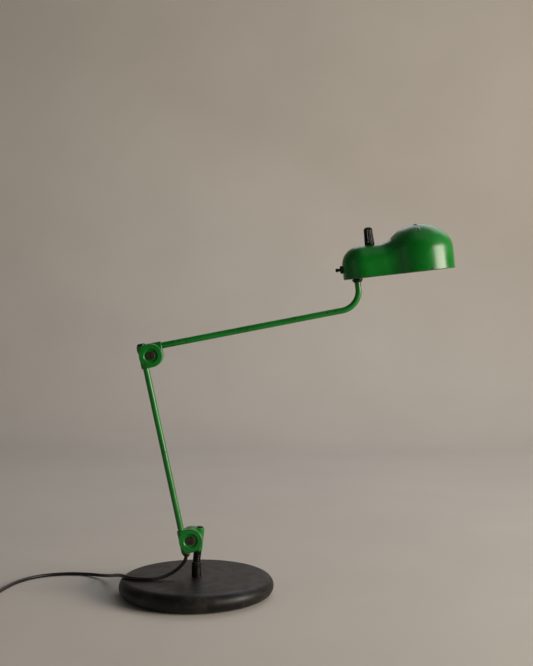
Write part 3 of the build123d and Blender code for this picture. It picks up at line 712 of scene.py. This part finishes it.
def moulded_plug():
    """Plug body, boot and pins. The body is a rounded box: each section is a superellipse
    of the fourth power whose half sizes swell a little at the front, are waisted where
    fingers hold it, and draw in by a quarter circle at both ends."""
    quarter = np.linspace(0, math.pi / 2, 7)
    along = np.concatenate([
        PLUG_END_ROUND - PLUG_END_ROUND * np.cos(quarter),
        np.linspace(3.5, PLUG_LENGTH - 3.5, 36),
        PLUG_LENGTH - PLUG_END_ROUND + PLUG_END_ROUND * np.sin(quarter),
    ])
    to_end = np.minimum(along, PLUG_LENGTH - along)
    into_round = np.maximum(PLUG_END_ROUND - to_end, 0)
    inset = PLUG_END_ROUND - np.sqrt(np.maximum(PLUG_END_ROUND**2 - into_round**2, 0))
    waist = 1.1 * np.exp(-(((along - GRIP_AT) / 6.0) ** 2))
    ridges = 0.25 * np.cos(2 * math.pi * along / 3.0) * np.exp(-(((along - GRIP_AT) / 5.5) ** 4))
    half_wide = (6.9 - waist + ridges - inset)[:, None]
    half_high = (6.7 - 0.4 * waist - inset)[:, None]
    angle = np.linspace(0, 2 * math.pi, 64, endpoint=False)
    across = np.sign(np.cos(angle)) * np.abs(np.cos(angle)) ** 0.5
    up = np.sign(np.sin(angle)) * np.abs(np.sin(angle)) ** 0.5
    body = with_ends(np.stack([half_wide * across, half_high * up, along[:, None] + 0 * angle], -1))
    lengthwise = local_frame(np.array(PLUG_AT) * MM, (0, 1, 0), side=(0, 0, 1))
    plug_body = make_piece("plug_shell", [skin(place(body, lengthwise))], "turret",
                           [plug_plastic], ("plug_body",))
    ribs = [(0, 0.6)]
    for step in range(4):
        near = -0.4 - 2.6 * step
        size = 5.2 - 0.55 * step
        ribs += [(size, near, 0.3), (size - 0.2, near - 1.5, 0.3),
                 (size - 1.1, near - 1.6, 0.2), (size - 1.1, near - 2.5, 0.2)]
    ribs += [(2.9, -11.0, 0.3), (0, -11.0)]
    boot = skin(place(turned(rounded(ribs), sides=48), lengthwise))
    plug_boot = make_piece("plug_strain_relief", [boot], "turret", [plug_plastic],
                           ("plug_boot",))
    pins = []
    for side in (-1, 1):
        shank = rounded([(0, 34.8), (2.0, 34.8), (2.0, 45.0, 0.1), (1.85, 45.2, 0.1),
                         (2.0, 45.4, 0.1), (2.0, 54.0, 1.2), (0, 54.0)])
        rows = shank[:-1, 1] + shank[1:, 1]
        paint = (rows / 2 > 45.2).astype(int)
        axis = shifted(lengthwise, (0, side * 4.0, 0))
        pins.append(skin(place(turned(shank, sides=40), axis), paint=paint))
    plug_pins = make_piece("plug_contacts", pins, "turret",
                           [plug_plastic, yellow_brass], ("plug_pins",))
    return [plug_body, plug_boot, plug_pins]


cord, cord_line = make_cord()
cord_pieces = [coil_tie(), *moulded_plug()]
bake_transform(cord)


# ---- Base and socket ----

def base_disc():
    """Iron disc: flat top, half-round rim and hollow underside, turned about z, and three
    bosses for the cover's screws."""
    flat = BASE_RADIUS - RIM_RADIUS
    middle = BASE_TOP - RIM_RADIUS
    angle = np.linspace(math.pi / 2, -math.pi / 2, 33)
    rim = np.column_stack([flat + RIM_RADIUS * np.cos(angle), middle + RIM_RADIUS * np.sin(angle)])
    top = np.array([(5.1, BASE_TOP), (7.5, BASE_TOP), (40.0, BASE_TOP), (84.0, BASE_TOP)])
    under = np.array([(84.0, 1.0), (84.0, 3.0), (79.0, 3.0), (76.0, 16.0), (18.0, 16.0),
                      (15.0, 9.5), (5.1, 9.5)])
    disc = turned(np.concatenate([top, rim, under]), sides=240)
    skins = [skin(place(disc, world), ring_rows=True)]
    for step in range(3):
        turn = 2 * math.pi * step / 3
        boss = turned(np.array([(0, 3.0), (5.0, 3.0), (5.0, 16.4), (0, 16.4)]), sides=32)
        foot = (SCREW_CIRCLE * math.cos(turn), SCREW_CIRCLE * math.sin(turn), 0)
        skins.append(skin(place(boss, shifted(world, foot))))
    return make_piece("base_disc", skins, "base", [iron], ("base_casting",))


def ferrule():
    """Socket tube: a turned outline with a groove near its top and a broken top edge."""
    top = BASE_TOP + SOCKET_HEIGHT
    outline = rounded([
        (5.0, 3.4), (5.0, BASE_TOP - 0.4, 0.1), (SOCKET_RADIUS, BASE_TOP - 0.4, 0.1),
        (SOCKET_RADIUS, top - 4.4, 0.15), (SOCKET_RADIUS - 0.45, top - 4.2, 0.1),
        (SOCKET_RADIUS - 0.45, top - 3.6, 0.1), (SOCKET_RADIUS, top - 3.4, 0.15),
        (SOCKET_RADIUS, top - 1.0, 0.3), (SOCKET_RADIUS - 0.8, top, 0.25), (3.55, top, 0.2),
        (3.55, 13.0), (0, 13.0), (0, 3.4),
    ])
    tube = skin(place(turned(outline), world), ring_rows=True)
    return make_piece("socket_ferrule", [tube], "base", [socket_steel],
                      ("base_ferrule",))


def ribbed_sleeve():
    """Black spacer on the post: a slightly widening tube with four rolled grooves, cut level
    at its foot where the post leans."""
    length = POST_TO_PIVOT - CASTING_RADIUS
    up = np.linspace(0.25, length, 180)
    groove = sum(np.exp(-(((up - height) / 0.38) ** 2)) for height in (3.4, 5.6, 7.8, 10.0))
    soft_top = 0.5 * np.clip((up - length + 0.6) / 0.6, 0, 1) ** 2
    soft_foot = 0.4 * np.clip((0.65 - up) / 0.4, 0, 1) ** 2
    across = 4.95 + 0.3 * up / length - 0.36 * groove - soft_top - soft_foot
    outline = np.concatenate([np.column_stack([across, up]), [(3.75, length), (3.75, 0.25)]])
    sleeve = skin(place(turned(outline), post), ring_rows=True)
    return make_piece("ribbed_sleeve", [sleeve], "turret", [phenolic],
                      ("post_sleeve",))


base_disc()
ferrule()
ribbed_sleeve()


# ---- Arm tubes ----

def pipe(line, local, radius, bore):
    """Walled tube along a line: the outside, then the bore back, closed into one skin."""
    outside = swept(line, radius)
    inside = swept(line, bore)[::-1]
    return skin(place(np.concatenate([outside, inside]), local), ring_rows=True)


def lower_tube():
    """Straight tube through the front castings of both joints."""
    length = np.linalg.norm(upper_pivot - lower_pivot) / MM + TUBE_START
    up = np.linspace(-TUBE_START, length, 60)
    line = np.column_stack([0 * up - TUBE_OFFSET, 0 * up + FRONT_Y, up])
    tube = pipe(line, lower_arm, TUBE_RADIUS, TUBE_BORE)
    return make_piece("lower_arm_tube", [tube], "lower_arm", [tube_enamel],
                      ("lower_tube",))


def upper_tube():
    """Straight run, one arc up and a short upright end: the arc's middle is square to the
    run, one bend radius from it, and the end leaves it at the bend's full turn."""
    turn = math.radians(BEND_TURN)
    tangent = BEND_RADIUS * math.tan(turn / 2)
    arc_start = UPPER_ARM_REACH - tangent
    straight = np.linspace(-TUBE_START, arc_start, 60, endpoint=False)
    angle = np.linspace(0, turn, 36)
    up_end = np.linspace(0, CORNER_TO_RIM - 0.8 - tangent, 12)[1:]
    run = np.column_stack([0 * straight, straight])
    arc = np.column_stack([BEND_RADIUS * (np.cos(angle) - 1),
                           arc_start + BEND_RADIUS * np.sin(angle)])
    end = arc[-1] + up_end[:, None] * np.array([-math.sin(turn), math.cos(turn)])
    line = np.concatenate([run, arc, end])
    points = np.column_stack([line[:, 0] - TUBE_OFFSET, 0 * line[:, 0], line[:, 1]])
    tube = pipe(points, upper_arm, TUBE_RADIUS, TUBE_BORE)
    return make_piece("upper_arm_tube", [tube], "upper_arm", [tube_enamel],
                      ("upper_tube",))


def collar():
    """Black cone that closes the tube's end, with a small bead at its widest."""
    outline = rounded([(4.05, -5.0), (4.8, -5.0, 0.3), (6.5, -2.6, 0.5), (7.0, -2.2, 0.4),
                       (7.0, -0.85, 0.35), (4.05, -0.85)])
    cone = skin(place(turned(outline), head), ring_rows=True)
    return make_piece("neck_collar", [cone], "upper_arm", [phenolic],
                      ("head_collar",))


lower_tube()
upper_tube()
collar()


# ---- Shade ----

def dome_distance(x, y, z):
    """How far a point lies outside the dome: from its upright wall, from the shoulder's arc
    above that, and from the crown's arc nearer the axis."""
    shoulder_at = DOME_RADIUS - DOME_SHOULDER
    rise = DOME_HEIGHT - DOME_STRAIGHT
    crown = (shoulder_at**2 + rise**2 - DOME_SHOULDER**2) / (2 * (rise - DOME_SHOULDER))
    crown_level = DOME_HEIGHT - crown
    meet = math.atan2(DOME_STRAIGHT - crown_level, shoulder_at)
    across = np.hypot(x - DOME_CENTRE, y)
    to_shoulder = np.hypot(across - shoulder_at, z - DOME_STRAIGHT) - DOME_SHOULDER
    to_crown = np.hypot(across, z - crown_level) - crown
    above = np.where(np.arctan2(z - crown_level, across) > meet, to_crown, to_shoulder)
    return np.where(z < DOME_STRAIGHT, across - DOME_RADIUS, above)


def loaf_distance(x, y, z):
    """How far a point lies outside the loaf: a stadium in plan with its top edge rounded."""
    past_end = np.maximum(np.maximum(LOAF_HALF_WIDTH - x, x - LOAF_REACH), 0)
    side = np.hypot(past_end, y) - LOAF_HALF_WIDTH + LOAF_ROUND
    over = z - LOAF_HEIGHT + LOAF_ROUND
    corner = np.hypot(np.maximum(side, 0), np.maximum(over, 0))
    return corner + np.minimum(np.maximum(side, over), 0) - LOAF_ROUND


def slope(distance, x, y, z):
    """Direction in which that distance grows, from small steps along each axis."""
    step = 0.01
    here = distance(x, y, z)
    grows = [distance(x + step, y, z) - here, distance(x, y + step, z) - here,
             distance(x, y, z + step) - here]
    return unit(np.stack(grows, -1))


def shade_distance(x, y, z):
    """The two forms joined by a hollow round. The round is the waist's radius times one less
    the cosine of the angle between the two surfaces, so it dies out where they run level."""
    dome, loaf = dome_distance(x, y, z), loaf_distance(x, y, z)
    apart = np.sum(slope(dome_distance, x, y, z) * slope(loaf_distance, x, y, z), -1)
    radius = WAIST_ROUND * (1 - apart)
    hollow = np.hypot(np.maximum(radius - dome, 0), np.maximum(radius - loaf, 0))
    return np.maximum(radius, np.minimum(dome, loaf)) - hollow


def shade_surface(inset, sides, rows):
    """Points of the shade's form, taken in by inset, on rays from a point in its rim plane:
    rows from straight up down to level, found by halving the distance along each ray."""
    heading = np.linspace(0, 2 * math.pi, sides, endpoint=False)[None, :]
    rise = np.linspace(math.pi / 2, 0, rows)[:, None]
    level = np.cos(rise)
    ray = np.stack(np.broadcast_arrays(
        level * np.cos(heading), level * np.sin(heading), np.sin(rise),
    ), -1)
    origin = np.array([RAYS_FROM, 0.0, SHADE_WALL / 2])
    near, far = np.zeros(ray.shape[:2]), np.full(ray.shape[:2], RAY_REACH)
    for _ in range(HALVINGS):
        middle = (near + far) / 2
        inside = shade_distance(*np.moveaxis(origin + ray * middle[..., None], -1, 0)) < -inset
        near, far = np.where(inside, middle, near), np.where(inside, far, middle)
    return origin + ray * near[..., None]


def louvre_lips(points):
    """Raises a small lip in front of each vent slot, a bell curve across and a flatter one
    along the slot."""
    x, y, z = np.moveaxis(points, -1, 0)
    lift = 0 * x
    for across in VENTS_ACROSS:
        bell = np.exp(-(((x - VENT_X - 1.5) / 1.3) ** 2) - ((y - across) / 3.6) ** 4)
        lift = lift + 0.75 * bell * (z > 30)
    away = unit(points - np.array([DOME_CENTRE, 0, 12.0]))
    return points + lift[..., None] * away


def vent_cutters():
    """Four short blocks that cut the vent slots, square to the dome where they are."""
    skins = []
    for across in VENTS_ACROSS:
        angle = math.asin(across / (DOME_HEIGHT - 10))
        up = (0, math.sin(angle), math.cos(angle))
        side = (0, math.cos(angle), -math.sin(angle))
        turn, _ = local_frame((0, 0, 0), up, side)
        outline = rounded([(-VENT_HALF_WIDTH, -VENT_HALF_LENGTH, 0.7),
                           (VENT_HALF_WIDTH, -VENT_HALF_LENGTH, 0.7),
                           (VENT_HALF_WIDTH, VENT_HALF_LENGTH, 0.7),
                           (-VENT_HALF_WIDTH, VENT_HALF_LENGTH, 0.7)])
        flat = np.stack([np.column_stack([outline, 0 * outline[:, 0] + high])
                         for high in (30.0, 60.0)])
        block = with_ends(flat) @ turn.T + np.array([VENT_X, 0, 10.0])
        skins.append(skin(place(block, shade_frame)))
    return skins


def make_shade():
    """Pressed shade: outside, half-round rolled rim and inside in one closed skin, painted
    green, worn and cream, with the vent slots cut through."""
    sides, rows = 320, 96
    outside = louvre_lips(shade_surface(0, sides, rows))
    inside = shade_surface(SHADE_WALL, sides, rows // 2)[::-1]
    middle, half = (outside[-1] + inside[0]) / 2, (outside[-1] - inside[0]) / 2
    round_edge = np.linspace(0, math.pi, 9)[1:-1, None, None]
    drop = np.array([0, 0, -SHADE_WALL / 2])
    rim = middle + np.cos(round_edge) * half + np.sin(round_edge) * drop
    grid = np.concatenate([outside, rim, inside])
    green, worn, white = range(3)
    paint = np.full(len(grid) - 1, white)
    paint[:rows - 1] = green
    paint[rows - 1:rows + len(rim)] = worn
    mesh_skin = skin(place(grid, shade_frame), paint=paint)
    shade = make_piece("pressed_shade", [mesh_skin], "head",
                       [shade_enamel, rim_enamel, cream], ("shade",))
    cutter = bpy.data.objects.new("vent_cutter", make_mesh("vent_cutter", vent_cutters()))
    bpy.context.scene.collection.objects.link(cutter)
    cut = shade.modifiers.new("vents", "BOOLEAN")
    cut.object = cutter
    cut.solver = "EXACT"
    shade.modifiers.move(1, 0)
    bpy.context.view_layer.update()
    evaluated = shade.evaluated_get(bpy.context.evaluated_depsgraph_get())
    done = bpy.data.meshes.new_from_object(evaluated)
    shade.modifiers.clear()
    shade.data = done
    bpy.data.objects.remove(cutter)
    return shade


def fluted_handle():
    """Handle on the shade: a cone with a domed top and narrow flutes round it. The flutes are
    the fourth power of a cosine and fade out at the foot."""
    cone_top = HANDLE_HEIGHT - 4.0
    up = np.concatenate([np.linspace(0, 1.2, 6)[:-1], np.linspace(1.2, cone_top, 40)])
    side = 6.45 - 0.85 * up / cone_top - 0.5 * np.clip(1 - up / 0.6, 0, 1) ** 2
    angle = np.linspace(0, math.pi / 2, 22)[1:]
    crown = np.column_stack([5.6 * np.cos(angle), cone_top + 4.0 * np.sin(angle)])
    screw_hole = [(0, 12.5), (2.5, 12.5), (2.5, 0)]
    outline = np.concatenate([screw_hole, np.column_stack([side, up]), crown])
    grid = turned(outline, sides=14 * 16)
    around = np.arctan2(grid[..., 1], grid[..., 0])
    fade = np.clip((outline[:, 1] - 1.2) / 1.5, 0, 1) * np.clip(outline[:, 0] / 5.6, 0, 1)
    fade[:len(screw_hole)] = 0
    flute = 0.7 * np.cos(7 * around) ** 4 * fade[:, None]
    radius = np.maximum(np.hypot(grid[..., 0], grid[..., 1]), 1e-6)
    grid[..., :2] *= (1 - np.minimum(flute / radius, 1))[..., None]
    local = shifted(shade_frame, (HANDLE_FROM_REAR, 0, LOAF_HEIGHT))
    return make_piece("fluted_handle", [skin(place(grid, local))], "head",
                      [phenolic], ("handle",))


def switch_pieces():
    """Knurled nut on the rear wall, and the plunger that moves in and out through it."""
    rear = shifted(shade_frame, (0, 0, SWITCH_HEIGHT))
    axis = (rear[0] @ np.column_stack([(0, 0, 1), (0, 1, 0), (-1, 0, 0)]), rear[1])
    outline = rounded([(3.5, 0), (4.9, 0, 0.1), (4.9, 2.7, 0.3), (4.3, 3.2, 0.3), (3.5, 3.2, 0.1)])
    ring = turned(outline, sides=160)
    knurl = 0.09 * np.cos(40 * np.arctan2(ring[..., 1], ring[..., 0]))
    outer = np.hypot(ring[..., 0], ring[..., 1])
    ring[..., :2] *= (1 + np.where(outer > 4.6, knurl, 0) / outer)[..., None]
    make_piece("switch_ring", [skin(place(ring, axis), ring_rows=True)], "head",
               [phenolic], ("switch_nut",))
    stem = rounded([(0, -6.0), (2.3, -6.0), (2.3, 3.0, 0.2), (1.9, 3.1, 0.1), (1.9, 5.5, 0.1),
                    (2.3, 5.6, 0.1), (2.3, 9.2, 0.8), (0, 9.2)])
    plunger = skin(place(turned(stem, sides=56), axis))
    make_piece("push_plunger", [plunger], "button", [phenolic], ("push_button",))


make_shade()
fluted_handle()
switch_pieces()


# ---- CAD nodes that stay, with their finishes ----

cad_finishes = {
    joint_enamel: ["lower_joint_front", "lower_joint_rear", "upper_joint_front",
                   "upper_joint_rear"],
    phenolic: ["lower_tube_cap", "upper_tube_cap", "post_cap", "lampholder", "switch_body"],
    bolt_steel: ["lower_pivot_bolt", "upper_pivot_bolt"],
    socket_steel: ["post_pin", "head_knuckle"],
    zinc: ["base_cover", "cover_screws", "ferrule_nut", "ferrule_washer", "handle_screw",
           "holder_nipple", "holder_nut", "lower_pivot_lock_washer", "lower_pivot_nut",
           "tilt_bracket", "tilt_nut", "tilt_screw", "upper_pivot_lock_washer",
           "upper_pivot_nut"],
    fibre(): ["lower_pivot_friction_washer", "upper_pivot_friction_washer", "thrust_washer"],
    black_rubber: ["cord_gland"],
    black_cord: ["lower_lead", "upper_lead", "head_wires"],
    yellow_brass: ["lamp_cap"],
    pearl_glass(): ["lamp_globe"],
    felt(): ["base_pad"],
}
for finish, names in cad_finishes.items():
    for name in names:
        node = frame["nodes"][name]
        node.data.materials.clear()
        node.data.materials.append(finish)


# ---- Floor and light ----

def studio():
    """Pale paper: a level sheet that turns up behind the lamp by a quarter circle."""
    bend = 0.8
    angle = np.linspace(0, math.pi / 2, 24)
    along = np.concatenate([[-2.6], 1.3 + bend * np.sin(angle), [1.3 + bend]])
    up = np.concatenate([[0], bend * (1 - np.cos(angle)), [3.2]])
    across = np.linspace(-3.2, 3.4, 2)
    grid = np.stack(np.broadcast_arrays(across, along[:, None], up[:, None]), -1)
    points, faces, _ = skin(grid, ring_columns=False)
    mesh = bpy.data.meshes.new("paper")
    mesh.from_pydata(points.tolist(), [], faces.tolist())
    mesh.polygons.foreach_set("use_smooth", np.ones(len(mesh.polygons), bool))
    mesh.materials.append(studio_paper())
    paper = bpy.data.objects.new("paper", mesh)
    bpy.context.scene.collection.objects.link(paper)


def softbox(name, at, aim, size, power, colour):
    """A soft rectangular lamp that faces the point aim."""
    light = bpy.data.lights.new(name, "AREA")
    light.shape = "RECTANGLE"
    light.size, light.size_y = size
    light.energy = power
    light.color = linear(colour)[:3]
    box = bpy.data.objects.new(name, light)
    box.location = at
    box.rotation_euler = Vector(np.subtract(at, aim)).to_track_quat("Z", "Y").to_euler()
    bpy.context.scene.collection.objects.link(box)


studio()
softbox("window", (2.37, -1.0, 0.8), (0.15, 0.0, 0.3), (1.7, 1.0), 70.0, "#FFF4E6")
softbox("overhead", (1.2, -0.1, 3.0), (0.2, 0.1, 0.2), (4.0, 3.6), 10.0, "#FFFFFF")
softbox("left_fill", (-1.7, -1.1, 0.7), (0.0, 0.0, 0.2), (1.0, 1.2), 0.8, "#EEF2FF")
softbox("behind", (0.6, 1.25, 1.5), (0.0, 0.0, 0.25), (1.6, 1.0), 7.0, "#F4F4FF")
room = bpy.data.worlds.new("studio_room")
room.use_nodes = True
background = room.node_tree.nodes["Background"].inputs
background["Color"].default_value = linear("#C9C6C2")
background["Strength"].default_value = 0.09
bpy.context.scene.world = room
bpy.context.scene.view_settings.view_transform = "Standard"
